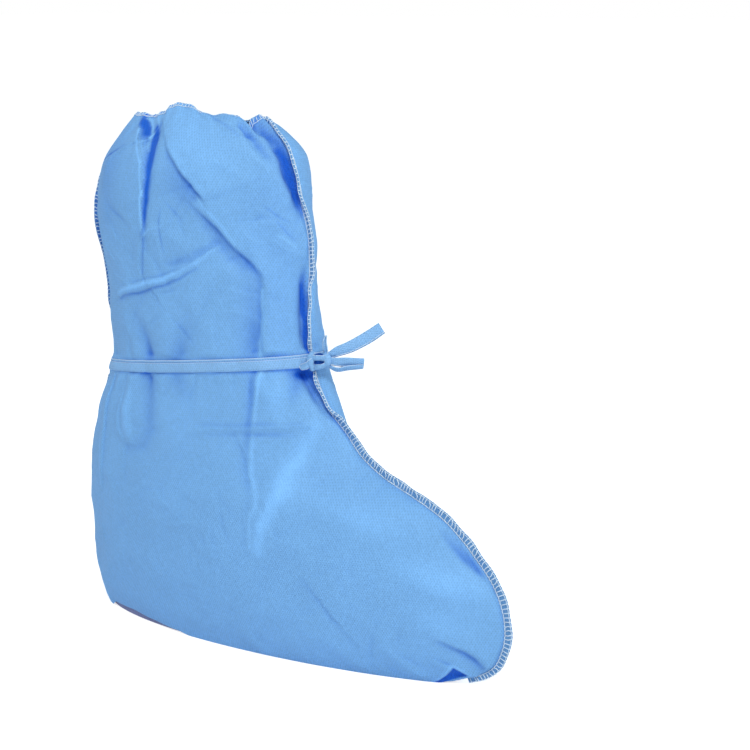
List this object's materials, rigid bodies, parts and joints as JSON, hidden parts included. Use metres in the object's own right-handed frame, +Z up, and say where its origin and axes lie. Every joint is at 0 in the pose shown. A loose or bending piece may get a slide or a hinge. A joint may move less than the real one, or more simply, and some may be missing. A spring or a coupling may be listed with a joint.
{
  "type": "boot cover",
  "caption": "Disposable nonwoven boot cover with a gathered elastic mouth, a knotted ankle tie, sewn front and back seams and a flat sole.",
  "frame": {"origin": "on the floor under the middle of the sole, in the plane of the two seams", "axes": "+Z up towards the mouth, +X towards the toe, +Y towards the far side panel"},
  "size_m": [0.4074, 0.119, 0.4075],
  "materials": {
    "nonwoven_cloth": "light blue spunbond nonwoven with a fine embossed diamond pattern",
    "sole_cloth": "denser grey blue nonwoven, matt",
    "seam_edge": "light blue cloth edge under white overlock thread",
    "tie_cloth": "folded light blue nonwoven tape with a white stitched edge"
  },
  "bodies": {
    "root": {"near_panel": "nonwoven_cloth", "far_panel": "nonwoven_cloth", "sole": "sole_cloth", "front_seam": "seam_edge", "back_seam": "seam_edge", "top_hem": "nonwoven_cloth", "tie_band": "tie_cloth", "tie_knot": "tie_cloth", "tie_tail_upper": "tie_cloth", "tie_tail_lower": "tie_cloth"}
  },
  "joints": []
}
